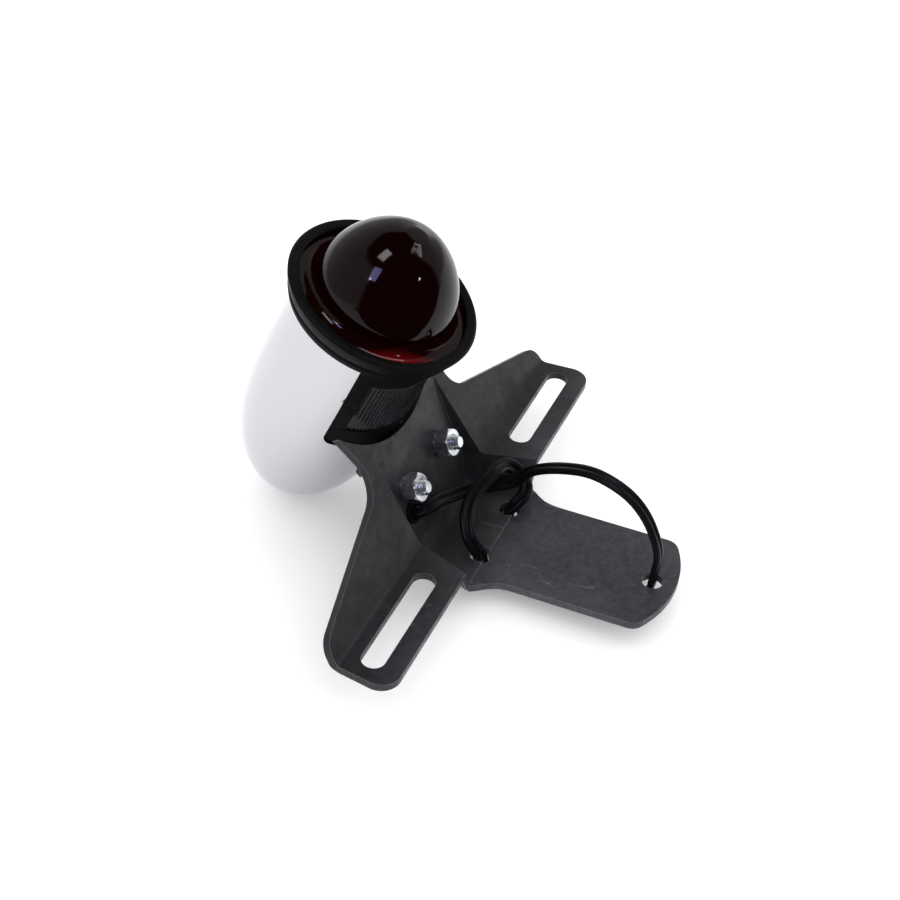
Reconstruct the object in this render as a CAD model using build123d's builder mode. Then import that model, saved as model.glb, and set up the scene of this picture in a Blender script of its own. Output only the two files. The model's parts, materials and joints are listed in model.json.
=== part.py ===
"""Motorcycle tail light on its licence plate bracket.

The row frame: the two plate slots lie on X, their common centre on the bracket's front face is
the origin, +Z is that face's normal, and +Y runs up the bracket towards the lamp. Millimetres.
"""
from build123d import *
from math import cos, pi, radians, sin, tan
import os

os.makedirs("parts", exist_ok=True)

# ---------------------------------------------------------------- driving dimensions
sheet = 3.2                 # bracket sheet thickness
slot_pitch = 146.0          # licence plate hole spacing
slot_length = 54.5          # end to end
slot_width = 9.4
strip_low = -12.5           # lower edge of the slotted strip
crease_y = 10.3             # front fold line between strip and wings
wing_angle = 55.0           # wings' rise from the strip
wing_half = 104.9           # half span at the fold
neck_fold = 42.0            # up the wings' slope, where the neck's middle leaves it
channel_angle = 65.0        # slope of the sunk middle
tongue_drop = 10.4          # tongue's front face below the strip, at y = 0
tongue_rise = 2.2           # tongue's tilt in degrees, its tip nearer the front
tongue_half = 26.3
tongue_end = -87.0

nut_x = 16.0                # studs, each side of the middle
stud_m = 25.5               # studs, down the sunk middle from the neck's fold
stud_r = 3.1                # 1/4 inch stud
nut_af = 11.1
nut_t = 5.6
washer_t = 1.2

lamp_tilt = 21.4            # lamp axis, leaned from +Z towards the tongue
lamp_centre = (0, 45.7, 87.6)   # centre of the bezel's front rim
bezel_r = 38.7
shell_wall = 1.1
notch_half = 70.5           # shell's cut-away, degrees each side of its lowest line
notch_front = -9.4          # along the lamp axis, from the bezel's rim
notch_back = -54.0
notch_corner = 3.5
socket_z = -56.0            # socket plate

cable_d = 6.0               # flat twin cable, across both cores
cable_hole_r = 4.3          # the tongue's three holes
lead_hole_r = 3.6

# ---------------------------------------------------------------- frames
wing_dir = (cos(radians(wing_angle)), sin(radians(wing_angle)))
WING = Plane(origin=(0, crease_y, 0), x_dir=(1, 0, 0), z_dir=(0, -wing_dir[1], wing_dir[0]))
neck_y = crease_y + neck_fold * wing_dir[0]
neck_z = neck_fold * wing_dir[1]
chan_dir = (cos(radians(channel_angle)), sin(radians(channel_angle)))
CHANNEL = Plane(origin=(0, neck_y, neck_z), x_dir=(1, 0, 0), z_dir=(0, -chan_dir[1], chan_dir[0]))
LAMP = Plane(
    origin=lamp_centre,
    x_dir=(1, 0, 0),
    z_dir=(0, -sin(radians(lamp_tilt)), cos(radians(lamp_tilt))),
)
PROFILE = Plane(origin=lamp_centre, x_dir=(1, 0, 0), z_dir=-LAMP.y_dir)
LAMP_AXIS = Axis(lamp_centre, LAMP.z_dir)


def tongue_z(y):
    """Height of the tongue's front face."""
    return -tongue_drop - tan(radians(tongue_rise)) * y


def finish(builder, name):
    """Label a finished piece and write it."""
    builder.part.label = name
    export_step(builder.part, f"parts/{name}.step")


def turned(points, close=True):
    """A piece turned about the lamp axis from (radius, height) points."""
    with BuildPart() as piece:
        with BuildSketch(PROFILE):
            with BuildLine():
                Polyline(*points, close=close)
            make_face()
        revolve(axis=LAMP_AXIS)
    return piece


# ---------------------------------------------------------------- bracket plate
def miter(a, b, c, t):
    """Corner of the line a-b-c moved back by t, square to both runs."""
    u = Vector(b[0] - a[0], b[1] - a[1]).normalized()
    v = Vector(c[0] - b[0], c[1] - b[1]).normalized()
    n = Vector(u.Y + v.Y, -u.X - v.X)
    back = n * (t / (1 + u.dot(v)))
    return (b[0] + back.X, b[1] + back.Y)


def square_end(a, b, t):
    """Point b of the run a-b moved back by t."""
    u = Vector(b[0] - a[0], b[1] - a[1]).normalized()
    return (b[0] + u.Y * t, b[1] - u.X * t)


def sheet_face(front, radii):
    """Side view of a folded sheet: its front line, and the same line one thickness back.
    A positive radius is a fold towards the front, a negative one a fold towards the back."""
    back = [square_end(front[1], front[0], -sheet)]
    for i in range(1, len(front) - 1):
        back.append(miter(front[i - 1], front[i], front[i + 1], sheet))
    back.append(square_end(front[-2], front[-1], sheet))
    back_radii = [r + sheet if r > 0 else -r - sheet for r in radii]
    with BuildLine() as line:
        FilletPolyline(*front, radius=[abs(r) for r in radii])
        FilletPolyline(*back, radius=back_radii)
        Line(front[0], back[0])
        Line(front[-1], back[-1])
    return line.line


slope_top = 62.0
wing_top = (crease_y + slope_top * wing_dir[0], slope_top * wing_dir[1])
# where the sunk middle's slope meets the tongue
run = (neck_z - tongue_z(neck_y)) / (chan_dir[1] - tan(radians(tongue_rise)) * chan_dir[0])
root = (neck_y - run * chan_dir[0], neck_z - run * chan_dir[1])
tip_y = tongue_end - 4

wing_line = sheet_face([(strip_low, 0), (crease_y, 0), wing_top], [3.0])
middle_line = sheet_face(
    [(tip_y, tongue_z(tip_y)), root, (neck_y, neck_z), wing_top], [7.0, -30.0]
)


def channel_half(y, z):
    """Half width of the sunk middle: wider towards the tongue, and with leaning sides."""
    lean = 0.62 if z < 0 else 0.15
    return 31.0 - 0.318 * (y - 12.3) + lean * z


def channel_prism(extra):
    """The sunk middle's side walls, as a solid between them, moved out by extra."""
    with BuildPart() as prism:
        for z in (-25, 0, 60):
            low = channel_half(strip_low, z) + extra
            high = channel_half(48, z) + extra
            with BuildSketch(Plane.XY.offset(z)):
                Polygon((-low, strip_low), (low, strip_low), (high, 48), (-high, 48), align=None)
        loft(ruled=True)
    return prism


def half_outline(points):
    """A symmetric outline from its right-hand points."""
    return [*points, *[(-x, y) for x, y in reversed(points)]]


strip_flare = 0.12          # wing ends lean in towards the lamp
wing_low = wing_half - strip_flare * (strip_low - crease_y)
saddle_low = 37.5           # the neck's hollow top, up the slope
horn = (41.0, 57.0)         # the neck's upper corners
neck_foot = (33.8, 31.0)    # where the neck's side would meet the wing's sloping edge
wing_tip = (103.3, 8.6)

with BuildPart() as wing_outline:
    # the strip's outline, square to the strip
    with BuildSketch(Plane.XY.offset(-9)):
        corners = half_outline([(wing_half, crease_y), (wing_low, strip_low)])
        Polygon(*corners, align=None)
        fillet(vertices().group_by(Axis.Y)[0], 8.0)
    extrude(amount=14)
    # the wings' outline, square to the slope
    with BuildSketch(WING.offset(-9)):
        corners = half_outline([(horn[0], slope_top), horn, neck_foot, wing_tip, (wing_half, 0)])
        with BuildLine():
            Polyline(*corners, close=True)
        make_face()
        fillet(vertices().filter_by(lambda v: abs(abs(v.X) - neck_foot[0]) < 0.1), 13)
        fillet(vertices().filter_by(lambda v: abs(abs(v.X) - wing_tip[0]) < 0.1), 9)
    extrude(amount=14)
    # behind the fold
    with BuildSketch(Plane.YZ):
        with BuildLine():
            Polyline((crease_y, 0), (crease_y, -9),
                     (crease_y + 9 * wing_dir[1], -9 * wing_dir[0]), close=True)
        make_face()
    extrude(amount=wing_half, both=True)

tongue_corner = 6.0
stud_spots = [(-nut_x, -stud_m), (nut_x, -stud_m)]
lead_hole = (-18.8, -35.5)      # cable hole below the near nut, on the channel's slope
tongue_holes = [(-15.5, -9.9), (15.5, -9.9), (0, -77.4)]

inner_walls = channel_prism(0)
outer_walls = channel_prism(sheet * 1.18)

with BuildPart() as middle_blank:
    # everything between the wings' front and the sunk middle's back, inside the outer walls
    with BuildSketch(Plane.YZ):
        with BuildLine():
            Polyline((strip_low, 0), (crease_y, 0), (neck_y, neck_z),
                     square_end(root, (neck_y, neck_z), sheet),
                     miter((tip_y, tongue_z(tip_y)), root, (neck_y, neck_z), sheet),
                     (strip_low, tongue_z(strip_low) - sheet), close=True)
        make_face()
    extrude(amount=60, both=True)
    add(outer_walls.part, mode=Mode.INTERSECT)

with BuildPart() as middle_hollow:
    # the space in front of the sunk middle
    with BuildSketch(Plane.YZ):
        with BuildLine():
            front = FilletPolyline(
                (strip_low, tongue_z(strip_low)), root, (neck_y, neck_z), radius=7.0
            )
            Polyline(front @ 1, (neck_y - 40, neck_z), (strip_low, 30), front @ 0)
        make_face()
    extrude(amount=60, both=True)
    add(inner_walls.part, mode=Mode.INTERSECT)

with BuildPart() as tongue_blank:
    with BuildSketch(Plane.YZ):
        make_face(middle_line)
    extrude(amount=60, both=True)
    with BuildSketch(Plane.XY.offset(-30)):
        root_half = channel_half(strip_low, tongue_z(strip_low)) + 0.8
        with BuildLine():
            side = Spline(
                (root_half, strip_low), (tongue_half + 1.3, strip_low - 9.0), (tongue_half, -32),
                tangents=((-0.55, -1), (0, -1)),
            )
            edge = Line(side @ 1, (tongue_half, tongue_end + 8))
            tip = ThreePointArc(edge @ 1, (0, tongue_end), (-tongue_half, tongue_end + 8))
            mirror(side, about=Plane.YZ)
            mirror(edge, about=Plane.YZ)
            Line((root_half, strip_low), (-root_half, strip_low))
        make_face()
        fillet(vertices().filter_by(lambda v: abs(v.Y - tongue_end - 8) < 0.1), tongue_corner)
    extrude(amount=50, mode=Mode.INTERSECT)

with BuildPart() as bracket_plate:
    with BuildSketch(Plane.YZ):
        make_face(wing_line)
    extrude(amount=115, both=True)
    add(wing_outline.part, mode=Mode.INTERSECT)
    add(middle_blank.part)
    add(middle_hollow.part, mode=Mode.SUBTRACT)
    add(tongue_blank.part)
    # the neck's hollow top, clear of the lamp's underside
    with BuildSketch(WING.offset(-9)):
        with BuildLine():
            arc = ThreePointArc((-horn[0], horn[1]), (0, saddle_low), horn)
            Polyline(arc @ 1, (60, horn[1] + 8), (-60, horn[1] + 8), arc @ 0)
        make_face()
    extrude(amount=18, mode=Mode.SUBTRACT)
    # licence plate slots
    with BuildSketch(Plane.XY.offset(-9)):
        with Locations((-slot_pitch / 2, 0), (slot_pitch / 2, 0)):
            SlotOverall(slot_length, slot_width)
    extrude(amount=12, mode=Mode.SUBTRACT)
    # stud holes and the cable's hole, square to the channel
    with BuildSketch(CHANNEL.offset(-9)):
        with Locations(*stud_spots):
            Circle(stud_r + 0.35)
        with Locations(lead_hole):
            Circle(lead_hole_r)
    extrude(amount=18, mode=Mode.SUBTRACT)
    with BuildSketch(Plane.XY.offset(-25)):
        with Locations(*tongue_holes):
            Circle(cable_hole_r)
    extrude(amount=22, mode=Mode.SUBTRACT)
finish(bracket_plate, "bracket_plate")


# ---------------------------------------------------------------- lamp shell
def bullet(inset):
    """The shell's body as a solid of revolution, its surface moved in by inset."""
    with BuildPart() as body:
        with BuildSketch(PROFILE):
            with BuildLine():
                side = Spline(
                    (31.5 - inset, -10), (32.1 - inset, -30), (32.4 - inset, -50),
                    (31.2 - inset, -70), (26.6 - inset * 0.95, -90 + inset * 0.4),
                    (18.3 - inset * 0.8, -105 + inset * 0.7), (0, -115 + inset),
                    tangents=((0, -1), (-1, 0)),
                )
                Polyline(side @ 1, (0, -10), side @ 0)
            make_face()
        revolve(axis=LAMP_AXIS)
    return body


def wedge(half_angle, low, high, corner=0):
    """A block between two half planes through the lamp axis, about its lowest line. Its two
    rear corners can be rounded."""
    across, down = sin(radians(half_angle)), -cos(radians(half_angle))
    near, reach = 15, 70
    with BuildPart() as block:
        with BuildSketch(LAMP.offset(low)):
            points = half_outline([(near * across, near * down), (reach * across, reach * down),
                                   (reach * across, -90)])
            Polygon(*points, align=None)
        extrude(amount=high - low)
        if corner:
            rear = edges().group_by(Axis(lamp_centre, LAMP.z_dir))[0]
            rear = rear.filter_by(lambda e: abs(e.length - (reach - near)) < 0.1)
            fillet(rear, corner)
    return block


def arc_band(inner, outer, half_angle, low, high, corner=0):
    """A band round the lamp axis, about its lowest line."""
    with BuildPart() as band:
        with BuildSketch(LAMP.offset(low)):
            Circle(outer)
            Circle(inner, mode=Mode.SUBTRACT)
        extrude(amount=high - low)
        add(wedge(half_angle, low, high, corner).part, mode=Mode.INTERSECT)
    return band


rim_r = 33.4
rim_front = -4.6
outer_body = bullet(0)
belly_hole = (7.0, -84.0)       # cable hole in the shell: across, and along the lamp axis
belly_hole_r = 4.0
BELLY = Plane(
    origin=LAMP.origin + LAMP.x_dir * belly_hole[0] + LAMP.z_dir * belly_hole[1],
    x_dir=(1, 0, 0),
    z_dir=-LAMP.y_dir,
)

with BuildPart() as lamp_shell:
    add(outer_body.part)
    # the stepped rim that the bezel fits over
    with BuildSketch(LAMP.offset(-10)):
        Circle(rim_r)
    extrude(amount=rim_front + 10)
    with BuildSketch(LAMP.offset(-10.5)):
        Circle(31.5 - shell_wall)
    extrude(amount=8, mode=Mode.SUBTRACT)
    add(bullet(shell_wall).part, mode=Mode.SUBTRACT)
    add(wedge(notch_half, notch_back, notch_front, notch_corner).part, mode=Mode.SUBTRACT)
    with BuildSketch(BELLY):
        Circle(belly_hole_r)
    extrude(amount=45, mode=Mode.SUBTRACT)
finish(lamp_shell, "lamp_shell")

# ---------------------------------------------------------------- licence window
window_half = 59.0
window_low = -45.2
window_high = -18.5
boot_r = 31.4
window_r = 30.6
rib_pitch = 3.2             # degrees
ribs = 35

with BuildPart() as window_boot:
    add(arc_band(29.4, boot_r, notch_half - 0.4, notch_back + 0.4, notch_front - 0.4, notch_corner).part)
    # lip inside the shell
    add(arc_band(28.2, 30.1, notch_half + 4.5, notch_back - 1.6, notch_front + 1.4).part)
    add(wedge(window_half, window_low, window_high).part, mode=Mode.SUBTRACT)
    # raised bead round the opening
    add(arc_band(boot_r - 0.5, boot_r + 0.25, window_half + 3, window_low - 1.6, window_low).part)
finish(window_boot, "window_boot")

with BuildPart() as licence_window:
    add(arc_band(28.4, window_r, window_half - 0.2, window_low + 0.2, window_high - 0.2).part)
    with BuildSketch(LAMP.offset(window_low + 1.2)):
        with PolarLocations(window_r, ribs, start_angle=-90 - (ribs - 1) / 2 * rib_pitch,
                            angular_range=(ribs - 1) * rib_pitch, endpoint=True):
            Circle(0.5)
    extrude(amount=window_high - window_low - 2.4)
finish(licence_window, "licence_window")

# ---------------------------------------------------------------- bezel and lens
with BuildPart() as bezel_ring:
    with BuildSketch(PROFILE):
        with BuildLine():
            flare = ThreePointArc((36.0, -6.2), (37.6, -3.4), (bezel_r, -0.3))
            lip = ThreePointArc(flare @ 1, (37.9, 0.75), (36.4, 0.9))
            Polyline(lip @ 1, (34.9, 0.7), (34.3, 0.3), (34.2, -0.5), (35.5, -1.8),
                     (35.5, -4.35), (rim_r + 0.3, -4.35), (rim_r + 0.3, -9.7),
                     (35.0, -9.7), (35.35, -9.2), (35.7, -7.6), (36.3, -7.1), (36.35, -6.6), flare @ 0)
        make_face()
    revolve(axis=LAMP_AXIS)
finish(bezel_ring, "bezel_ring")

dome_r = 28.1
dome_base = 3.4
dome_height = 28.9
dome_power = 1.56


def dome_points(radius, height):
    """Points up the dome's side: half its width falls as the square root of 1 - h^power."""
    points = []
    for step in range(9):
        t = radians(step * 90 / 8)
        rise = sin(t) ** (2 / dome_power)
        points.append((radius * cos(t), dome_base + height * rise))
    points[-1] = (0, dome_base + height)
    return points


lens_wall = 2.6
with BuildPart() as lens:
    with BuildSketch(PROFILE):
        with BuildLine():
            outside = Spline(*dome_points(dome_r, dome_height), tangents=((0, 1), (-1, 0)))
            foot = ThreePointArc((31.6, -1.9), (29.3, -0.6), (28.3, 1.4))
            Line(foot @ 1, outside @ 0)
            Polyline(foot @ 0, (35.3, -1.9), (35.3, -4.25), (28.0, -4.25),
                     (dome_r - lens_wall, -1.4), (dome_r - lens_wall, dome_base))
            inside = Spline(*dome_points(dome_r - lens_wall, dome_height - lens_wall),
                            tangents=((0, 1), (-1, 0)))
            Line(inside @ 1, outside @ 1)
        make_face()
    revolve(axis=LAMP_AXIS)
finish(lens, "lens")

# ---------------------------------------------------------------- socket and its plate
socket_in = 7.75
socket_out = 8.6
socket_front = socket_z + 9
socket_rear = socket_z - 22
plate_r = 30.9
pin_z = socket_z + 4        # bulb's bayonet pins, fully home
pin_slot = 2.6
turn_range = 20.0           # bulb's bayonet turn, degrees
wire_hole_r = 2.4

with BuildPart() as socket_plate:
    add(turned([
        (socket_out + 0.05, socket_z), (plate_r, socket_z), (plate_r, socket_z - 4),
        (plate_r - 0.9, socket_z - 4), (plate_r - 0.9, socket_z - 1), (socket_out + 0.05, socket_z - 1),
    ]).part)
    # vent holes round the socket
    with BuildSketch(LAMP.offset(socket_z - 2)):
        with PolarLocations(20, 4, start_angle=45):
            Circle(3.0)
    extrude(amount=4, mode=Mode.SUBTRACT)
finish(socket_plate, "socket_plate")

with BuildPart() as socket_shell:
    with BuildSketch(LAMP.offset(socket_rear)):
        Circle(socket_out)
        Circle(socket_in, mode=Mode.SUBTRACT)
    extrude(amount=socket_front - socket_rear)
    # end wall with its wire hole
    with BuildSketch(LAMP.offset(socket_rear)):
        Circle(socket_in)
        Circle(wire_hole_r, mode=Mode.SUBTRACT)
    extrude(amount=0.9)
    # flange resting on the socket plate
    with BuildSketch(LAMP.offset(socket_z)):
        Circle(14)
        Circle(socket_out, mode=Mode.SUBTRACT)
    extrude(amount=0.9)
    # bayonet slots: straight in, then round
    with BuildSketch(LAMP.offset(pin_z - pin_slot / 2)):
        with PolarLocations(socket_in + 0.4, 2):
            Rectangle(4, pin_slot)
    extrude(amount=socket_front - pin_z + pin_slot, mode=Mode.SUBTRACT)
    for start in (0, 180):
        with BuildSketch(LAMP.offset(pin_z - pin_slot / 2)):
            with PolarLocations(socket_in + 0.4, 8, start_angle=start, angular_range=turn_range,
                                endpoint=True):
                Rectangle(4, pin_slot)
        extrude(amount=pin_slot, mode=Mode.SUBTRACT)
finish(socket_shell, "socket_shell")

with BuildPart() as socket_rivets:
    with BuildSketch(LAMP.offset(socket_z + 0.9)):
        with PolarLocations(11.3, 3, start_angle=90):
            Circle(1.5)
    extrude(amount=0.8)
    chamfer(edges().group_by(Axis(lamp_centre, LAMP.z_dir))[-1], 0.4)
finish(socket_rivets, "socket_rivets")

# ---------------------------------------------------------------- bulb
base_r = 7.45
base_front = socket_z + 8.5
base_rear = socket_z - 10
glass_foot = base_front - 2.5
glass_r = 13.0
glass_height = 34.0

with BuildPart() as bulb_base:
    add(turned([
        (0, base_rear), (base_r, base_rear), (base_r, base_front), (6.6, base_front),
        (6.6, base_rear + 1.2), (0, base_rear + 1.2),
    ]).part)
    with BuildSketch(LAMP.offset(base_rear - 1)):
        with Locations((3, 0), (-3, 0)):
            Circle(1.3)
    extrude(amount=3, mode=Mode.SUBTRACT)
finish(bulb_base, "bulb_base")

pin_way = LAMP.x_dir * cos(radians(turn_range)) + LAMP.y_dir * sin(radians(turn_range))
PINS = Plane(origin=LAMP.origin + LAMP.z_dir * pin_z, x_dir=LAMP.z_dir, z_dir=pin_way)
with BuildPart() as bulb_pins:
    for side in (-1, 1):
        with BuildSketch(PINS.offset(side * (base_r - 0.3))):
            Circle(1.0)
        extrude(amount=side * 1.6)
finish(bulb_pins, "bulb_pins")

with BuildPart() as bulb_glass:
    with BuildSketch(PROFILE):
        with BuildLine():
            neck = Line((6.5, glass_foot), (6.5, glass_foot + 3.5))
            flank = Spline(
                neck @ 1, (9.5, glass_foot + 9.5), (glass_r, glass_foot + 20.5),
                (9.6, glass_foot + 29.8), (0, glass_foot + glass_height), tangents=((0, 1), (-1, 0)),
            )
            top = Line(flank @ 1, (0, glass_foot + glass_height - 0.7))
            hollow = Spline(
                top @ 1, (9.0, glass_foot + 29.4), (glass_r - 0.6, glass_foot + 20.5),
                (8.9, glass_foot + 9.7), (5.9, glass_foot + 3.5), tangents=((1, 0), (0, -1)),
            )
            Polyline(hollow @ 1, (5.9, glass_foot), neck @ 0)
        make_face()
    revolve(axis=LAMP_AXIS)
finish(bulb_glass, "bulb_glass")

stem_top = glass_foot + 10
bulb_stem = turned([
    (0, glass_foot), (5.8, glass_foot), (5.8, glass_foot + 1), (2.2, glass_foot + 2.5),
    (1.6, stem_top - 1), (0, stem_top),
])
finish(bulb_stem, "bulb_stem")

filament_r = 0.3
with BuildPart() as bulb_filaments:
    for across, height in ((-3.6, 9.0), (3.6, 12.0)):
        # two posts and a coil between them
        with BuildSketch(LAMP.offset(stem_top - 0.9)):
            with Locations((across, -3), (across, 3)):
                Circle(0.25)
        extrude(amount=height + 1.2)
        coil_end = LAMP.from_local_coords((across, -3.0, stem_top + height))
        with BuildSketch(Plane(origin=coil_end, z_dir=LAMP.y_dir)):
            Circle(filament_r)
        extrude(amount=6.0)
    # glass bead that holds the posts
    with BuildSketch(LAMP.offset(stem_top - 1.7)):
        Rectangle(8.2, 7.0)
        Circle(1.75, mode=Mode.SUBTRACT)
    extrude(amount=0.8)
finish(bulb_filaments, "bulb_filaments")

contact_t = 0.9
with BuildPart() as bulb_contacts:
    with BuildSketch(LAMP.offset(base_rear - contact_t)):
        with Locations((3, 0), (-3, 0)):
            Circle(1.25)
    extrude(amount=contact_t + 0.6)
finish(bulb_contacts, "bulb_contacts")

# ---------------------------------------------------------------- sprung contacts
tip_t = 1.0
plunger_front = base_rear - contact_t - 0.05 - tip_t
disc_t = 2.4
plunger_rear = plunger_front - 4.0
press_travel = 1.5
wire_bore_r = 2.3           # blind bore in the plunger's back, where the wires enter

plunger = turned([
    (0, plunger_rear + 3), (wire_bore_r, plunger_rear + 3), (wire_bore_r, plunger_rear),
    (3.4, plunger_rear), (3.4, plunger_front - disc_t), (7.4, plunger_front - disc_t),
    (7.4, plunger_front), (0, plunger_front),
])
finish(plunger, "contact_plunger")

with BuildPart() as contact_tips:
    with BuildSketch(LAMP.offset(plunger_front)):
        with Locations((3, 0), (-3, 0)):
            Circle(1.6)
    extrude(amount=tip_t)
    chamfer(edges().group_by(Axis(lamp_centre, LAMP.z_dir))[-1], 0.3)
finish(contact_tips, "contact_tips")

spring_wire_r = 0.35
spring_r = 5.0
spring_front = plunger_front - disc_t - spring_wire_r - 0.02
spring_rear = socket_rear + 0.9 + press_travel + spring_wire_r + 0.3
with BuildPart() as contact_spring:
    with BuildLine() as coil:
        Helix(pitch=(spring_front - spring_rear) / 3, height=spring_front - spring_rear,
              radius=spring_r, center=LAMP.origin + LAMP.z_dir * spring_rear, direction=LAMP.z_dir)
    with BuildSketch(Plane(origin=coil.line @ 0, z_dir=coil.line % 0)):
        Circle(spring_wire_r)
    sweep(is_frenet=True)
finish(contact_spring, "contact_spring")

# ---------------------------------------------------------------- mounting foot and pad
pad_t = 1.6
foot_t = 3.0
foot_half = 23.0
foot_top = -11.0
foot_low = -33.5
foot_back = -(sheet + pad_t + foot_t)


def foot_sketch():
    """Outline shared by the foot's plate and its pad, round the stud and cable holes."""
    with BuildSketch(Plane.XY) as outline:
        with Locations((0, (foot_top + foot_low) / 2)):
            RectangleRounded(2 * foot_half, foot_top - foot_low, 6)
        with Locations(*stud_spots):
            Circle(stud_r + 0.02, mode=Mode.SUBTRACT)
        with Locations(lead_hole):
            Circle(lead_hole_r + 1.4, mode=Mode.SUBTRACT)
    return outline.sketch


pad_outline = foot_sketch()
with BuildPart() as foot_pad:
    with BuildSketch(CHANNEL.offset(-sheet - pad_t)):
        add(pad_outline)
    extrude(amount=pad_t)
finish(foot_pad, "foot_pad")

rib_x = 8.0
rib_t = 3.0
saddle_front = -57.5
saddle_rear = -78.0
saddle_t = 2.2
saddle_strap = bullet(-saddle_t)
saddle_block = wedge(21, saddle_rear, saddle_front)
with BuildPart() as mounting_foot:
    with BuildSketch(CHANNEL.offset(foot_back)):
        add(pad_outline)
    extrude(amount=foot_t)
    # two ribs from the foot to the shell's underside
    for x in (-rib_x, rib_x):
        top = CHANNEL.from_local_coords((x, foot_top - 1, foot_back + 0.5))
        low = CHANNEL.from_local_coords((x, foot_low + 4, foot_back + 0.5))
        front = LAMP.from_local_coords((x, -29.5, saddle_front))
        rear = LAMP.from_local_coords((x, -27.0, saddle_rear))
        with BuildSketch(Plane.YZ.offset(x - rib_t / 2)):
            Polygon((top.Y, top.Z), (low.Y, low.Z), (rear.Y, rear.Z), (front.Y, front.Z), align=None)
        extrude(amount=rib_t)
    # curved strap welded under the shell
    with BuildPart(mode=Mode.PRIVATE) as strap:
        add(saddle_strap.part)
        add(saddle_block.part, mode=Mode.INTERSECT)
    add(strap.part)
    add(outer_body.part, mode=Mode.SUBTRACT)
finish(mounting_foot, "mounting_foot")

# ---------------------------------------------------------------- studs, washers and nuts
thread_pitch = 1.27
thread_depth = 0.42
stud_end = washer_t + nut_t + 3.2
head_back = foot_back - 2.0
bore_r = stud_r + 0.06


def stud(spot):
    """A weld stud through foot, pad and sheet, with a ridged end above the nut's seat."""
    points = [(0, head_back), (5.2, head_back), (5.6, head_back + 0.6), (5.6, foot_back),
              (stud_r, foot_back)]
    height = washer_t
    while height < stud_end - 1.2:
        points += [(stud_r, height), (stud_r - thread_depth, height + thread_pitch / 2)]
        height += thread_pitch
    points += [(stud_r, height), (stud_r - 0.9, stud_end), (0, stud_end)]
    base = CHANNEL.from_local_coords((spot[0], spot[1], 0))
    with BuildPart() as piece:
        with BuildSketch(Plane(origin=base, x_dir=(1, 0, 0), z_dir=-CHANNEL.y_dir)):
            with BuildLine():
                Polyline(*points, close=True)
            make_face()
        revolve(axis=Axis(base, CHANNEL.z_dir))
    return piece


def washer(spot, turn):
    """A split spring washer."""
    with BuildPart() as piece:
        with BuildSketch(CHANNEL):
            with Locations(spot):
                Circle(5.6)
                Circle(stud_r + 0.3, mode=Mode.SUBTRACT)
                with PolarLocations(4.4, 1, start_angle=turn):
                    Rectangle(4, 0.8, mode=Mode.SUBTRACT)
        extrude(amount=washer_t)
    return piece


def nut(spot, turn):
    """A hexagon nut with rounded corners, turned by an angle about its stud."""
    base = CHANNEL.from_local_coords((spot[0], spot[1], washer_t))
    flat = nut_af / 2
    corner = flat / cos(pi / 6)
    with BuildPart() as piece:
        with BuildSketch(CHANNEL.offset(washer_t)):
            with Locations(spot):
                RegularPolygon(flat, 6, major_radius=False, rotation=turn)
        extrude(amount=nut_t)
        with BuildSketch(Plane(origin=base, x_dir=(1, 0, 0), z_dir=-CHANNEL.y_dir)):
            with BuildLine():
                Polyline((0, 0), (flat + 0.3, 0), (corner + 0.02, 0.4), (corner + 0.02, nut_t - 0.6),
                         (flat - 0.1, nut_t), (0, nut_t), close=True)
            make_face()
        revolve(axis=Axis(base, CHANNEL.z_dir), mode=Mode.INTERSECT)
        with BuildSketch(CHANNEL.offset(washer_t - 1)):
            with Locations(spot):
                Circle(bore_r)
        extrude(amount=nut_t + 2, mode=Mode.SUBTRACT)
        rims = edges().filter_by(GeomType.CIRCLE).filter_by(lambda e: e.radius < bore_r + 0.01)
        chamfer(rims, 0.3)
    return piece


for label, spot, turn in (("left", stud_spots[0], 10), ("right", stud_spots[1], 25)):
    finish(stud(spot), f"stud_{label}")
    finish(washer(spot, turn + 60), f"washer_{label}")
    finish(nut(spot, turn), f"nut_{label}")

# ---------------------------------------------------------------- grommets
cable_r = cable_d / 2
lip_t = 0.9
lip_r = 4.4
LEAD = Plane(origin=CHANNEL.from_local_coords((*lead_hole, 0)), x_dir=(1, 0, 0), z_dir=CHANNEL.z_dir)

with BuildPart() as plate_grommet:
    for low, high, r in ((-sheet - lip_t, -sheet, lip_r), (-sheet, 0, lead_hole_r), (0, lip_t, lip_r)):
        with BuildSketch(LEAD.offset(low)):
            Circle(r)
            Circle(cable_r, mode=Mode.SUBTRACT)
        extrude(amount=high - low)
finish(plate_grommet, "plate_grommet")

belly_r = 28.5              # shell's radius at the hole
belly_lip_r = 5.4
with BuildPart() as shell_band:
    add(outer_body.part)
    add(bullet(shell_wall).part, mode=Mode.SUBTRACT)
with BuildPart() as shell_grommet:
    with BuildSketch(BELLY.offset(belly_r - 3.4)):
        Circle(belly_lip_r)
    extrude(amount=5.2)
    add(shell_band.part, mode=Mode.SUBTRACT)
    with BuildSketch(BELLY.offset(belly_r - 3.4)):
        Circle(belly_hole_r)
    extrude(amount=5.2)
    with BuildSketch(BELLY.offset(belly_r - 6)):
        Circle(cable_r)
    extrude(amount=12, mode=Mode.SUBTRACT)
finish(shell_grommet, "shell_grommet")


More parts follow.
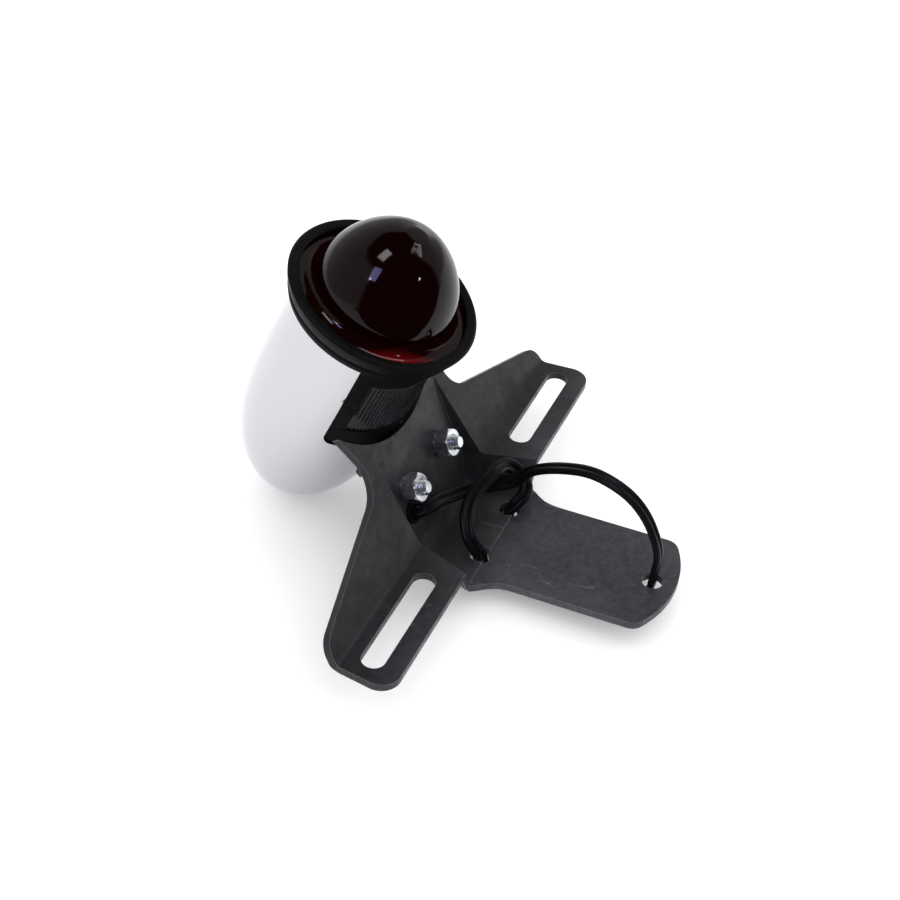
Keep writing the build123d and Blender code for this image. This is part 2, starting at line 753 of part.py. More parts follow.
# ---------------------------------------------------------------- cables and wires
def cord(points, r):
    """A round cable through the points, its bends tangent arcs. Returns the piece and its radii."""
    route = [Vector(*p) for p in points]
    runs = [route[i + 1] - route[i] for i in range(len(route) - 1)]
    radii = []
    for before, after in zip(runs, runs[1:]):
        turn = radians(before.get_angle(after))
        radii.append(0.45 * min(before.length, after.length) / tan(turn / 2))
    with BuildPart() as piece:
        with BuildLine():
            path = FilletPolyline(*route, radius=radii)
        with BuildSketch(Plane(origin=route[0], z_dir=runs[0])):
            Circle(r)
        sweep()
    return piece, radii, path.length


def at_lead(depth):
    """A point on the plate hole's axis, in front of the sheet's face by depth."""
    return LEAD.origin + LEAD.z_dir * depth


cable_start = -2.2          # inside the plate grommet
wire_start = 1.1            # how far the wires reach into the plunger
wire_r = 0.9

# the lead from the shell to the plate, all behind the bracket
lead_points = [
    LAMP.from_local_coords((belly_hole[0], -belly_r + 5.5, belly_hole[1])),
    LAMP.from_local_coords((belly_hole[0], -belly_r - 8, belly_hole[1])),
    LAMP.from_local_coords((belly_hole[0] - 14, -belly_r - 14, belly_hole[1] + 1)),
    at_lead(-13.2),
    at_lead(cable_start),
]
inner_lead, lead_radii, lead_length = cord(lead_points, cable_r)
finish(inner_lead, "inner_lead")

for label, side in (("red", -1), ("black", 1)):
    wire_points = [
        LAMP.from_local_coords((side * 1.2, 0, plunger_rear + wire_start)),
        LAMP.from_local_coords((side * 1.2, 0, socket_rear - 3.5)),
        LAMP.from_local_coords((belly_hole[0] / 2 + side * 1.2, -7, belly_hole[1] - 3)),
        LAMP.from_local_coords((belly_hole[0] + side * 1.2, -16, belly_hole[1])),
        LAMP.from_local_coords((belly_hole[0] + side * 1.2, -belly_r + 5.5, belly_hole[1])),
    ]
    wire, wire_radii, wire_length = cord(wire_points, wire_r)
    finish(wire, f"wire_{label}")

cable_points = [
    at_lead(cable_start),
    at_lead(1.4),
    # round to the right, in front of the sunk middle
    (-16.7, 14.9, 4.6), (-12.6, 12.9, 5.1), (-7.8, 12.8, 3.3), (-0.9, 11.0, 0.6),
    (8.7, 6.6, -1.1), (17.2, 0.1, -2.6), (19.9, -9.0, 0.8),
    # arch over the tongue
    (19.7, -15.3, 9.3), (15.4, -23.3, 17.5), (10.9, -33.1, 24.8), (7.7, -43.2, 29.6),
    (5.0, -52.9, 30.3), (3.2, -62.0, 28.0), (1.8, -69.5, 22.2), (0.7, -74.9, 14.0), (0.6, -78.0, 5.5),
    # through the tip's hole and back behind the tongue
    (0, -77.4, -3.5), (0, -77.4, -11.2), (-0.2, -75.4, -15.7), (-1.2, -70.6, -18.2),
    (-3.9, -60.7, -18.5), (-7.8, -46.8, -18.2), (-11.6, -32.6, -18.0), (-14.3, -21.2, -18.6),
    (-15.1, -14.6, -18.6), (-15.4, -10.9, -15.7),
    # out through the left hole, a loop over the first run, and in through the right hole
    (-15.5, -9.9, -11.0), (-16.4, -8.3, -7.0), (-15.8, -4.6, -3.9), (-11.1, -1.1, -0.6),
    (-4.0, 1.5, 2.2), (4.2, 1.1, 4.8), (13.5, -1.7, 7.3), (24.3, -2.8, 5.3), (28.4, -6.9, 0.7),
    (28.2, -10.3, -2.2), (25.5, -13.2, -4.3), (21.2, -14.3, -5.0), (16.7, -12.6, -6.7),
    (14.6, -10.4, -10.9),
    # free end behind the bracket
    (15.7, -9.5, -15.7), (19.4, -8.1, -18.6), (23.7, -5.5, -18.6), (31.0, -1.0, -18.5),
    (41.0, 3.5, -18.5), (50.5, 9.4, -18.5), (58.5, 17.0, -18.5),
]
cable, cable_radii, cable_length = cord(cable_points, cable_r)
finish(cable, "cable")
print("lead radii", [round(r, 1) for r in lead_radii], "length", round(lead_length, 1))
print("wire radii", [round(r, 1) for r in wire_radii], "length", round(wire_length, 1))
print("cable radii", [round(r, 1) for r in cable_radii], "length", round(cable_length, 1))

# ---------------------------------------------------------------- bullet terminals
core_r = 1.45
end_run = Vector(*cable_points[-1]) - Vector(*cable_points[-2])
END = Plane(origin=cable_points[-1], x_dir=(0, 0, 1), z_dir=end_run)
for label, side in (("a", -1), ("b", 1)):
    tail = END.from_local_coords((0, side * 1.55, 0))
    with BuildPart() as terminal:
        with BuildSketch(Plane(origin=tail, x_dir=END.y_dir, z_dir=END.x_dir)):
            with BuildLine():
                Polyline((0, 0), (core_r, 0), (core_r, 5.5), (1.0, 6.1), (1.0, 7.4), (core_r, 7.9),
                         (core_r, 12.2), (0.8, 13.6), (0, 13.6), close=True)
            make_face()
        revolve(axis=Axis(tail, END.z_dir))
    finish(terminal, f"cable_end_{label}")
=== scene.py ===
"""Looks of the motorcycle tail light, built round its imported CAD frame. Metres, in the row frame:
the licence plate slots lie on X, +Y runs up the bracket and +Z leaves the strip's front face."""
import json
import math
import bpy
from mathutils import Matrix, Vector


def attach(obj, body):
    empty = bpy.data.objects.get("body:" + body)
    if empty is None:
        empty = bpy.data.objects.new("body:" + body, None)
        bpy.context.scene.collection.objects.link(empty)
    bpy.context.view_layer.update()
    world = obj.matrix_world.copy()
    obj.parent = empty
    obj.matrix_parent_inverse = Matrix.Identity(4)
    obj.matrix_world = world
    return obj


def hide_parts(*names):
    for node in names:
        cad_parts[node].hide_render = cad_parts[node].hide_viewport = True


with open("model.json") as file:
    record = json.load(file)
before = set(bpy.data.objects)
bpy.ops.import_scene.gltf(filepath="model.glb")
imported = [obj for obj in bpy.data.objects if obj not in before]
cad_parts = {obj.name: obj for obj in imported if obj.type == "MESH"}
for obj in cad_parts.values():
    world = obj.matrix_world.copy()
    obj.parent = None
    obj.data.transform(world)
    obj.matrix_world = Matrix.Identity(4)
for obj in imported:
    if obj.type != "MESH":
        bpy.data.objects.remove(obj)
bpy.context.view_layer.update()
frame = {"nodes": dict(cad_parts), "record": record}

MM = 0.001
FLOOR_Z = -21.8 * MM
TILT = math.radians(21.4)
LAMP_CENTRE = Vector((0, 45.7, 87.6)) * MM
LAMP_AXIS = Vector((0, -math.sin(TILT), math.cos(TILT)))
# across the lamp's axis, toward the lower left, where the flange is painted with a red glow of light
WINDOW_SIDE = Vector((-0.77, -0.594, -0.233))
TOWARD_CAMERA = Vector((-0.726, -0.258, 0.638))
LENS_FOCAL = 66.2
SENSOR_WIDTH = 36

# ---------------------------------------------------------------- camera
# at the photograph's viewing angle: the first two vectors are the picture's right and up
camera = bpy.data.objects.new("camera", bpy.data.cameras.new("camera"))
bpy.context.collection.objects.link(camera)
right = Vector((0.3955, -0.9151, 0.0789))
up = Vector((0.5630, 0.3094, 0.7664))
back = right.cross(up)
camera.matrix_world = Matrix((right, up, back)).transposed().to_4x4()
camera.location = Vector((-478.5, -157.6, 444.0)) * MM
camera.data.sensor_width = SENSOR_WIDTH
camera.data.lens = LENS_FOCAL
camera.data.clip_start = 0.01
bpy.context.scene.camera = camera

# ---------------------------------------------------------------- cable
CABLE_R = 3.0 * MM
CORE_R = 1.5 * MM
LEAD_ORIGIN = Vector((-18.8, 19.387, 2.231)) * MM
LEAD_NORMAL = Vector((0, -0.90631, 0.42262))
CABLE_START = -2.2 * MM
LEAD_OUT = 1.4 * MM
CURVE_STEPS = 8
# shares of the cable's length where its flat side changes its way
FIRST_RUN_END = 0.16
BACK_RUN_END = 0.60
LOOP_END = 0.80
TWIST_PASSES = 30

route = [LEAD_ORIGIN + LEAD_NORMAL * CABLE_START, LEAD_ORIGIN + LEAD_NORMAL * LEAD_OUT]
route += [Vector(p) * MM for p in (
    # round to the right, in front of the sunk middle
    (-16.7, 14.9, 4.6), (-12.6, 12.9, 5.1), (-7.8, 12.8, 3.3), (-0.9, 11.0, 0.6),
    (8.7, 6.6, -1.1), (17.2, 0.1, -2.6), (19.9, -9.0, 0.8),
    # arch over the tongue
    (19.7, -15.3, 9.3), (15.4, -23.3, 17.5), (10.9, -33.1, 24.8), (7.7, -43.2, 29.6),
    (5.0, -52.9, 30.3), (3.2, -62.0, 28.0), (1.8, -69.5, 22.2), (0.7, -74.9, 14.0), (0.6, -78.0, 5.5),
    # through the tip's hole and back behind the tongue
    (0, -77.4, -3.5), (0, -77.4, -11.2), (-0.2, -75.4, -15.7), (-1.2, -70.6, -18.2),
    (-3.9, -60.7, -18.5), (-7.8, -46.8, -18.2), (-11.6, -32.6, -18.0), (-14.3, -21.2, -18.6),
    (-15.1, -14.6, -18.6), (-15.4, -10.9, -15.7),
    # out through the left hole, a loop over the first run, and in through the right hole
    (-15.5, -9.9, -11.0), (-16.4, -8.3, -7.0), (-15.8, -4.6, -3.9), (-11.1, -1.1, -0.6),
    (-4.0, 1.5, 2.2), (4.2, 1.1, 4.8), (13.5, -1.7, 7.3), (24.3, -2.8, 5.3), (28.4, -6.9, 0.7),
    (28.2, -10.3, -2.2), (25.5, -13.2, -4.3), (21.2, -14.3, -5.0), (16.7, -12.6, -6.7),
    (14.6, -10.4, -10.9),
    # free end behind the bracket
    (15.7, -9.5, -15.7), (19.4, -8.1, -18.6), (23.7, -5.5, -18.6), (31.0, -1.0, -18.5),
    (41.0, 3.5, -18.5), (50.5, 9.4, -18.5), (58.5, 17.0, -18.5),
)]


def centreline(points, steps):
    """Points along the smooth curve that the route's points give."""
    curve = bpy.data.curves.new("route", "CURVE")
    curve.dimensions = "3D"
    curve.resolution_u = steps
    spline = curve.splines.new("NURBS")
    spline.points.add(len(points) - 1)
    for place, p in zip(spline.points, points):
        place.co = (*p, 1)
    spline.order_u = 3
    spline.use_endpoint_u = True
    holder = bpy.data.objects.new("route", curve)
    bpy.context.collection.objects.link(holder)
    line = bpy.data.meshes.new_from_object(holder)
    path = [v.co.copy() for v in line.vertices]
    bpy.data.objects.remove(holder)
    return path


def twin_outline():
    """Half outline points (across, thick) round two cores joined by a thin web."""
    arc = [math.radians(a) for a in range(-150, 151, 20)]
    centre = CABLE_R - CORE_R
    outline = [(centre + CORE_R * math.cos(a), CORE_R * math.sin(a)) for a in arc]
    return outline + [(-x, -y) for x, y in outline]


def flat_ways(path):
    """The direction of the twin's width at each point: square to the viewing direction in the first
    run and the loop, along X in the arch and behind the tongue, and level in the free end."""
    share = [0.0]
    for a, b in zip(path, path[1:]):
        share.append(share[-1] + (b - a).length)
    total = share[-1]
    ways = []
    for i, p in enumerate(path):
        run = (path[min(i + 1, len(path) - 1)] - path[max(i - 1, 0)]).normalized()
        s = share[i] / total
        face_on = run.cross(TOWARD_CAMERA)
        if s < FIRST_RUN_END or BACK_RUN_END < s < LOOP_END:
            way = face_on
        elif s < BACK_RUN_END:
            way = Vector((1, 0, 0))
        else:
            way = run.cross(Vector((0, 0, 1)))
        way = (way - run * way.dot(run)).normalized()
        if ways and way.dot(ways[-1]) < 0:
            way = -way
        ways.append(way)
    for _ in range(TWIST_PASSES):
        soft = [ways[0]]
        for i in range(1, len(ways) - 1):
            soft.append((ways[i - 1] + ways[i] * 2 + ways[i + 1]).normalized())
        ways = soft + [ways[-1]]
    return ways


def tube(name, path, ways, outline):
    """A closed tube mesh: the outline swept along the path, its width turned to each way."""
    verts, faces = [], []
    n = len(outline)
    for i, p in enumerate(path):
        run = (path[min(i + 1, len(path) - 1)] - path[max(i - 1, 0)]).normalized()
        way = (ways[i] - run * ways[i].dot(run)).normalized()
        thick = run.cross(way)
        verts += [p + way * x + thick * y for x, y in outline]
    for i in range(len(path) - 1):
        for k in range(n):
            a, b = i * n + k, i * n + (k + 1) % n
            faces.append((a, b, b + n, a + n))
    faces.append(tuple(reversed(range(n))))
    faces.append(tuple(range((len(path) - 1) * n, len(path) * n)))
    mesh = bpy.data.meshes.new(name)
    mesh.from_pydata(verts, [], faces)
    mesh.update()
    for face in mesh.polygons:
        face.use_smooth = len(face.vertices) == 4
    piece = bpy.data.objects.new(name, mesh)
    bpy.context.collection.objects.link(piece)
    return piece


cable_path = centreline(route, CURVE_STEPS)
cable = tube("twin_cable", cable_path, flat_ways(cable_path), twin_outline())
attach(cable, "base")
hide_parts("cable")


# ---------------------------------------------------------------- materials
def maths_node(tree, kind, a, b=0.0):
    """A sum, product or other operation. Each value is a socket or a number."""
    node = tree.nodes.new("ShaderNodeMath")
    node.operation = kind
    for value, socket in ((a, node.inputs[0]), (b, node.inputs[1])):
        if isinstance(value, bpy.types.NodeSocket):
            tree.links.new(value, socket)
        else:
            socket.default_value = value
    return node.outputs[0]


def dot_node(tree, source, way):
    """How far a vector reaches along a direction."""
    node = tree.nodes.new("ShaderNodeVectorMath")
    node.operation = "DOT_PRODUCT"
    node.inputs[1].default_value = way
    tree.links.new(source, node.inputs[0])
    return node.outputs["Value"]


class Look:
    """A material and short calls for the nodes that it is made of."""

    def __init__(self, name, colour, roughness, metallic=0.0, **sockets):
        self.material = bpy.data.materials.new(name)
        self.material.use_nodes = True
        self.tree = self.material.node_tree
        self.shader = self.tree.nodes["Principled BSDF"]
        self.shader.inputs["Base Color"].default_value = (*colour, 1)
        self.shader.inputs["Roughness"].default_value = roughness
        self.shader.inputs["Metallic"].default_value = metallic
        for socket, value in sockets.items():
            self.shader.inputs[socket.replace("_", " ")].default_value = value
        self.place = self.tree.nodes.new("ShaderNodeTexCoord").outputs["Object"]

    def link(self, source, target):
        self.tree.links.new(source, target)

    def stretched(self, scale, turn=(0, 0, 0)):
        """The object's coordinates, scaled differently along each axis."""
        node = self.tree.nodes.new("ShaderNodeMapping")
        node.inputs["Scale"].default_value = scale
        node.inputs["Rotation"].default_value = turn
        self.link(self.place, node.inputs["Vector"])
        return node.outputs["Vector"]

    def noise(self, scale, detail=4.0, rough=0.55, where=None, warp=0.0):
        node = self.tree.nodes.new("ShaderNodeTexNoise")
        node.inputs["Scale"].default_value = scale
        node.inputs["Detail"].default_value = detail
        node.inputs["Roughness"].default_value = rough
        node.inputs["Distortion"].default_value = warp
        self.link(where or self.place, node.inputs["Vector"])
        return node.outputs["Fac"]

    def ramp(self, source, stops):
        """Colours or greys placed along a value."""
        node = self.tree.nodes.new("ShaderNodeValToRGB")
        ramp = node.color_ramp
        while len(ramp.elements) < len(stops):
            ramp.elements.new(0.5)
        for element, (at, colour) in zip(ramp.elements, stops):
            element.position = at
            grey = (colour,) * 3 if isinstance(colour, (int, float)) else colour
            element.color = (*grey, 1)
        self.link(source, node.inputs["Fac"])
        return node.outputs["Color"]

    def mix(self, factor, a, b, kind="MIX"):
        """Two colours blended. Each is a socket or a plain colour."""
        node = self.tree.nodes.new("ShaderNodeMix")
        node.data_type = "RGBA"
        node.blend_type = kind
        for value, socket in ((factor, node.inputs[0]), (a, node.inputs[6]), (b, node.inputs[7])):
            if isinstance(value, bpy.types.NodeSocket):
                self.link(value, socket)
            elif isinstance(value, (int, float)):
                socket.default_value = value
            else:
                socket.default_value = (*value, 1)
        return node.outputs[2]

    def maths(self, kind, a, b=0.0):
        return maths_node(self.tree, kind, a, b)

    def along(self, origin, way, length):
        """How far a point lies from an origin along a direction, as a share of a length."""
        offset = self.tree.nodes.new("ShaderNodeVectorMath")
        offset.operation = "SUBTRACT"
        offset.inputs[1].default_value = origin
        self.link(self.place, offset.inputs[0])
        return self.maths("MULTIPLY", dot_node(self.tree, offset.outputs["Vector"], way), 1 / length)

    def edge(self, radius, samples=6):
        """1 on a rounded band along sharp edges, 0 on flat faces."""
        bevel = self.tree.nodes.new("ShaderNodeBevel")
        bevel.samples = samples
        bevel.inputs["Radius"].default_value = radius
        geometry = self.tree.nodes.new("ShaderNodeNewGeometry")
        dot = self.tree.nodes.new("ShaderNodeVectorMath")
        dot.operation = "DOT_PRODUCT"
        self.link(bevel.outputs["Normal"], dot.inputs[0])
        self.link(geometry.outputs["Normal"], dot.inputs[1])
        return self.maths("SUBTRACT", 1.0, dot.outputs["Value"]), bevel.outputs["Normal"]

    def bump(self, height, strength, distance, normal=None):
        node = self.tree.nodes.new("ShaderNodeBump")
        node.inputs["Strength"].default_value = strength
        node.inputs["Distance"].default_value = distance
        self.link(height, node.inputs["Height"])
        if normal is not None:
            self.link(normal, node.inputs["Normal"])
        self.link(node.outputs["Normal"], self.shader.inputs["Normal"])

    def colour(self, source):
        self.link(source, self.shader.inputs["Base Color"])

    def roughness(self, source):
        self.link(source, self.shader.inputs["Roughness"])


def bracket_look():
    """Raw mill-scale steel: mottled dark grey, handling scratches, edges worn bright and painted brighter
    as a highlight, painted light and shade from the tongue to the neck.
    """
    look = Look("bracket_steel", (0.04, 0.039, 0.043), 0.45, 0.2, Specular_IOR_Level=0.28)
    cloud = look.noise(28, 6, 0.6, warp=0.4)
    base = look.ramp(cloud, [(0.30, (0.021, 0.020, 0.023)), (0.52, (0.036, 0.035, 0.040)),
                             (0.75, (0.058, 0.056, 0.063))])
    fine = look.noise(420, 5, 0.7)
    base = look.mix(look.ramp(fine, [(0.42, 0.0), (0.70, 0.55)]), base, (0.066, 0.064, 0.070))
    scuffs = look.noise(95, 8, 0.75, look.stretched((1, 0.25, 1), (0.2, 0.4, 0.7)), 1.5)
    base = look.mix(look.ramp(scuffs, [(0.60, 0.0), (0.69, 0.8)]), base, (0.13, 0.127, 0.135))
    stain = look.noise(60, 3, 0.5, look.stretched((1, 1, 1), (1.1, 0.2, 0.4)))
    base = look.mix(look.ramp(stain, [(0.70, 0.0), (0.78, 0.5)]), base, (0.105, 0.055, 0.028))
    edge, normal = look.edge(0.45 * MM)
    # painted highlight: the pale edge band is partly wear and partly a highlight painted into the colour
    wear_and_highlight = look.ramp(edge, [(0.08, 0.0), (0.22, 0.8)])
    # painted light and shade: the steel is painted lighter on the tongue and darker toward the wings and
    # the neck, where less light falls
    upper = look.along(Vector((0, -30, 0)) * MM, Vector((0, 1, 0)), 40 * MM)
    painted_light_and_shade = look.ramp(upper, [(0.15, (1.25, 1.25, 1.27)), (0.75, (0.44, 0.435, 0.44))])
    base = look.mix(1.0, base, painted_light_and_shade, "MULTIPLY")
    look.colour(look.mix(wear_and_highlight, base, (0.26, 0.255, 0.26)))
    look.roughness(look.ramp(look.noise(150, 6, 0.7), [(0.35, 0.30), (0.70, 0.56)]))
    grain = look.mix(0.5, look.noise(900, 4, 0.6), look.noise(90, 3, 0.5))
    look.bump(grain, 0.18, 0.05 * MM, normal)
    return look.material


def chrome_look():
    """Polished chrome with a faint orange peel and uneven gloss."""
    look = Look("chrome", (0.56, 0.555, 0.575), 0.07, 1.0)
    look.roughness(look.ramp(look.noise(45, 5, 0.6), [(0.35, 0.05), (0.75, 0.13)]))
    look.bump(look.noise(70, 2, 0.4), 0.03, 0.05 * MM)
    return look.material


def rubber_look(name, roughness=0.42, grey=0.004):
    """Moulded black rubber with a fine grain."""
    look = Look(name, (grey, grey, grey * 1.05), roughness, 0.0, Specular_IOR_Level=0.045)
    dust = look.noise(240, 5, 0.7)
    look.colour(look.mix(look.ramp(dust, [(0.50, 0.0), (0.80, 0.6)]),
                         (grey, grey, grey * 1.05), (grey * 2.6, grey * 2.6, grey * 2.7)))
    look.roughness(look.ramp(look.noise(120, 4, 0.6), [(0.3, roughness - 0.07), (0.7, roughness + 0.10)]))
    look.bump(look.noise(1400, 3, 0.6), 0.10, 0.03 * MM)
    return look.material


def lens_look():
    """Very dark red glass. Its flange is painted red only on the window's side, a painted glow of light
    through the glass, and its dome is close to black."""
    look = Look("smoked_lens", (0.02, 0.001, 0.001), 0.03, 0.0, IOR=1.27)
    look.shader.inputs["Transmission Weight"].default_value = 0.5
    height = look.along(LAMP_CENTRE, LAMP_AXIS, 30 * MM)
    toward_window = look.along(LAMP_CENTRE, WINDOW_SIDE, 36 * MM)
    # painted light: a red glow painted on the flange on the window's side, where light shines through it
    painted_glow = look.ramp(toward_window, [(0.78, 0.0), (0.92, 1.0)])
    flange = look.mix(painted_glow, (0.012, 0.0006, 0.0006), (0.34, 0.003, 0.006))
    dome = look.ramp(height, [(0.0, 0.0), (0.12, 1.0)])
    look.colour(look.mix(dome, flange, (0.006, 0.0002, 0.0004)))
    look.roughness(look.ramp(look.noise(60, 4, 0.6), [(0.4, 0.055), (0.8, 0.085)]))
    look.bump(look.noise(35, 2, 0.4), 0.03, 0.05 * MM)
    return look.material


def window_look():
    """Faintly clear plastic, painted dark as painted shade of the dim inside behind it, with painted
    highlights on the rib crests.
    """
    # painted shade: the plastic's dark colour stands in for the shaded inside seen through it
    look = Look("window_plastic", (0.02, 0.02, 0.022), 0.14, 0.0, IOR=1.35)
    look.shader.inputs["Transmission Weight"].default_value = 0.3
    # painted highlight: the rib crests are painted pale
    crest_highlight, normal = look.edge(0.22 * MM)
    look.colour(look.mix(look.ramp(crest_highlight, [(0.03, 0.0), (0.14, 0.8)]), (0.014, 0.014, 0.016),
                         (0.22, 0.22, 0.24)))
    look.roughness(look.ramp(look.noise(200, 3, 0.5), [(0.3, 0.10), (0.7, 0.22)]))
    look.bump(look.noise(500, 2, 0.5), 0.05, 0.03 * MM, normal)
    return look.material


def metal_look(name, colour, dark, low, high, scale=300):
    """Plated or plain metal: cloudy colour, uneven gloss, fine grain, and bright edges that are partly
    wear and partly a painted highlight.
    """
    look = Look(name, colour, low, 1.0)
    cloud = look.noise(scale, 5, 0.65)
    base = look.mix(look.ramp(cloud, [(0.38, 0.0), (0.72, 1.0)]), dark, colour)
    edge, normal = look.edge(0.25 * MM, 4)
    # painted highlight: the edge band is painted near white, partly wear and partly a highlight
    look.colour(look.mix(look.ramp(edge, [(0.02, 0.0), (0.2, 0.6)]), base, (0.93, 0.93, 0.94)))
    look.roughness(look.ramp(look.noise(scale * 2, 4, 0.6), [(0.3, low), (0.7, high)]))
    look.bump(look.noise(scale * 4, 3, 0.6), 0.05, 0.02 * MM, normal)
    return look.material


def plastic_look(name, colour, roughness):
    """Moulded plastic or PVC with a slight mottle."""
    look = Look(name, colour, roughness)
    deep = tuple(c * 0.7 for c in colour)
    look.colour(look.mix(look.ramp(look.noise(300, 4, 0.6), [(0.35, 0.0), (0.7, 1.0)]), deep, colour))
    look.roughness(look.ramp(look.noise(180, 3, 0.5), [(0.3, roughness - 0.06), (0.7, roughness + 0.08)]))
    look.bump(look.noise(1100, 2, 0.5), 0.06, 0.02 * MM)
    return look.material


def cable_look():
    """Satin black PVC with dull patches."""
    look = Look("cable_sheath", (0.004, 0.004, 0.005), 0.28, 0.0, Specular_IOR_Level=0.11)
    scuff = look.noise(160, 5, 0.7)
    look.colour(look.mix(look.ramp(scuff, [(0.52, 0.0), (0.8, 0.7)]), (0.003, 0.003, 0.004),
                         (0.009, 0.009, 0.010)))
    look.roughness(look.ramp(look.noise(90, 4, 0.6), [(0.3, 0.24), (0.7, 0.42)]))
    look.bump(look.noise(700, 3, 0.6), 0.08, 0.03 * MM)
    return look.material


def glass_look():
    """Clear bulb glass."""
    look = Look("bulb_envelope", (0.97, 0.98, 0.98), 0.02, 0.0, IOR=1.47)
    look.shader.inputs["Transmission Weight"].default_value = 1.0
    look.roughness(look.ramp(look.noise(80, 3, 0.5), [(0.4, 0.01), (0.8, 0.05)]))
    return look.material


LOOKS = {
    "bracket_steel": bracket_look(),
    "chrome_shell": chrome_look(),
    "foot_steel": plastic_look("foot_paint", (0.030, 0.030, 0.034), 0.38),
    "black_rubber": rubber_look("black_rubber"),
    "smoked_lens": lens_look(),
    "window_plastic": window_look(),
    "zinc_steel": metal_look("zinc_plate", (0.90, 0.92, 0.94), (0.78, 0.81, 0.85), 0.20, 0.36, 120),
    "socket_zinc": metal_look("socket_plate", (0.62, 0.61, 0.60), (0.42, 0.41, 0.40), 0.26, 0.45),
    "insulator": plastic_look("phenolic", (0.22, 0.11, 0.05), 0.45),
    "brass_parts": metal_look("brass", (0.78, 0.58, 0.28), (0.52, 0.36, 0.15), 0.22, 0.40),
    "bulb_envelope": glass_look(),
    "bulb_metal": metal_look("rivet_metal", (0.80, 0.79, 0.77), (0.60, 0.59, 0.58), 0.25, 0.40),
    "solder": metal_look("solder", (0.70, 0.70, 0.72), (0.50, 0.50, 0.52), 0.30, 0.50),
    "cable_sheath": cable_look(),
    "wire_red": plastic_look("wire_red", (0.40, 0.015, 0.015), 0.35),
    "wire_black": plastic_look("wire_black", (0.015, 0.015, 0.016), 0.35),
}

slot_of = {s["node"]: s["material_slot"] for s in frame["record"]["subparts"]}
for node, piece in frame["nodes"].items():
    for place in piece.material_slots:
        place.material = LOOKS[slot_of[node]]
cable.data.materials.append(LOOKS["cable_sheath"])

# ---------------------------------------------------------------- floor
FLOOR_SIZE = 6
bpy.ops.mesh.primitive_plane_add(size=FLOOR_SIZE, location=(0, 0, FLOOR_Z))
floor = bpy.context.object
floor.name = "floor"
# its faint glow keeps it near white under the part
FLOOR_GLOW = 0.18
floor_look = Look(
    "floor", (0.92, 0.92, 0.93), 0.75, Emission_Color=(1, 1, 1, 1), Emission_Strength=FLOOR_GLOW
)
floor_look.colour(floor_look.ramp(floor_look.noise(3, 3, 0.5), [(0.3, 0.91), (0.7, 0.94)]))
floor.data.materials.append(floor_look.material)

# ---------------------------------------------------------------- light
def area_light(name, place, target, size, power, colour):
    """A rectangular light aimed at a point. It shows in glossy surfaces and doesn't light matt ones."""
    data = bpy.data.lights.new(name, "AREA")
    data.shape = "RECTANGLE"
    data.size, data.size_y = size
    data.energy = power
    data.color = colour
    lamp = bpy.data.objects.new(name, data)
    bpy.context.collection.objects.link(lamp)
    lamp.location = place
    lamp.rotation_mode = "QUATERNION"
    lamp.rotation_quaternion = (target - place).to_track_quat("-Z", "Y")
    lamp.visible_diffuse = False


dome_top = LAMP_CENTRE + LAMP_AXIS * 20 * MM
# (name, offset from the dome, width and height, power, colour)
for name, way, size, power, colour in (
    ("softbox_main", (-0.29, 0.16, 0.94), (0.24, 0.30), 2.2, (1.0, 0.96, 1.0)),
    ("softbox_cool", (-0.70, 0.16, 0.70), (0.22, 0.30), 2.0, (0.50, 0.48, 1.0)),
    ("softbox_side", (0.32, -0.48, 0.82), (0.18, 0.34), 1.2, (0.92, 0.88, 1.0)),
    ("spark_left", (-0.77, 0.23, 0.60), (0.035, 0.035), 0.3, (1, 1, 1)),
    ("spark_right", (-0.17, -0.89, 0.43), (0.045, 0.025), 0.3, (1, 1, 1)),
):
    area_light(name, dome_top + Vector(way), dome_top, size, power, colour)

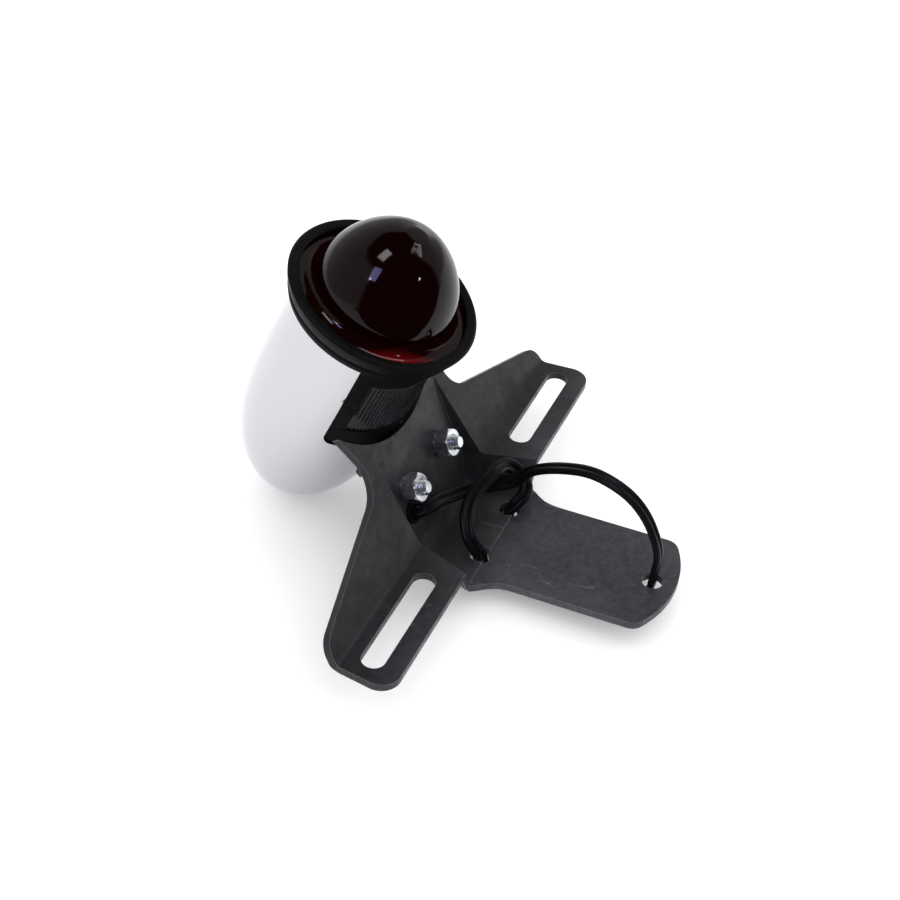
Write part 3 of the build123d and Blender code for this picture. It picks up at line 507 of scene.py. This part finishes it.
# a dark fan-shaped card on the floor in front. Only reflections see it, as the dark part of a room.
FRONT = Vector((-0.656, -0.755, 0))
SIDE = Vector((0.755, -0.656, 0))
CARD_TIP = 0.10
CARD_REACH = 4.3
CARD_Z = FLOOR_Z + MM
spread = [math.radians(a) for a in range(-65, 66, 13)]
fan = [FRONT * CARD_TIP]
fan += [(FRONT * math.cos(a) + SIDE * math.sin(a)) * CARD_REACH for a in spread]
card_mesh = bpy.data.meshes.new("dark_card")
card_mesh.from_pydata([(p.x, p.y, CARD_Z) for p in fan], [], [tuple(range(len(fan)))])
card = bpy.data.objects.new("dark_card", card_mesh)
bpy.context.collection.objects.link(card)
card.visible_camera = False
card.visible_diffuse = False
card.visible_shadow = False
card.visible_transmission = False
card_look = Look("dark_card", (0.01, 0.01, 0.011), 0.9)
card.data.materials.append(card_look.material)


WORLD_STRENGTH = 1.28
WHITE = (1.0, 1.0, 1.02, 1)
DARK = (0.016, 0.015, 0.018, 1)
WALL_SHADE = 0.55


def studio_world():
    """White all round, which lights matt surfaces evenly. Glossy rays see grey walls, a dark ceiling
    and a dark front, which stand still in the room."""
    world = bpy.data.worlds.new("studio")
    world.use_nodes = True
    tree = world.node_tree
    nodes, links = tree.nodes, tree.links

    def maths(kind, a, b=0.0):
        return maths_node(tree, kind, a, b)

    def fade(value, low, high):
        node = nodes.new("ShaderNodeMapRange")
        node.interpolation_type = "SMOOTHSTEP"
        node.inputs["From Min"].default_value = low
        node.inputs["From Max"].default_value = high
        links.new(value, node.inputs["Value"])
        return node.outputs["Result"]

    direction = nodes.new("ShaderNodeTexCoord").outputs["Generated"]
    height = dot_node(tree, direction, Vector((0, 0, 1)))
    level = maths("SQRT", maths("SUBTRACT", 1.001, maths("MULTIPLY", height, height)))
    ahead = fade(maths("DIVIDE", dot_node(tree, direction, FRONT), level), 0.22, 0.50)
    ceiling = fade(height, 0.70, 0.82)
    walls = maths("MULTIPLY", fade(height, 0.0, 0.08), WALL_SHADE)
    dark = maths("MAXIMUM", maths("MAXIMUM", ahead, ceiling), walls)
    rays = nodes.new("ShaderNodeLightPath")
    shade = nodes.new("ShaderNodeMix")
    shade.data_type = "RGBA"
    shade.inputs[6].default_value = WHITE
    shade.inputs[7].default_value = DARK
    links.new(maths("MULTIPLY", dark, rays.outputs["Is Glossy Ray"]), shade.inputs[0])
    links.new(shade.outputs[2], nodes["Background"].inputs["Color"])
    nodes["Background"].inputs["Strength"].default_value = WORLD_STRENGTH
    return world


bpy.context.scene.world = studio_world()
bpy.context.scene.view_settings.view_transform = "Standard"
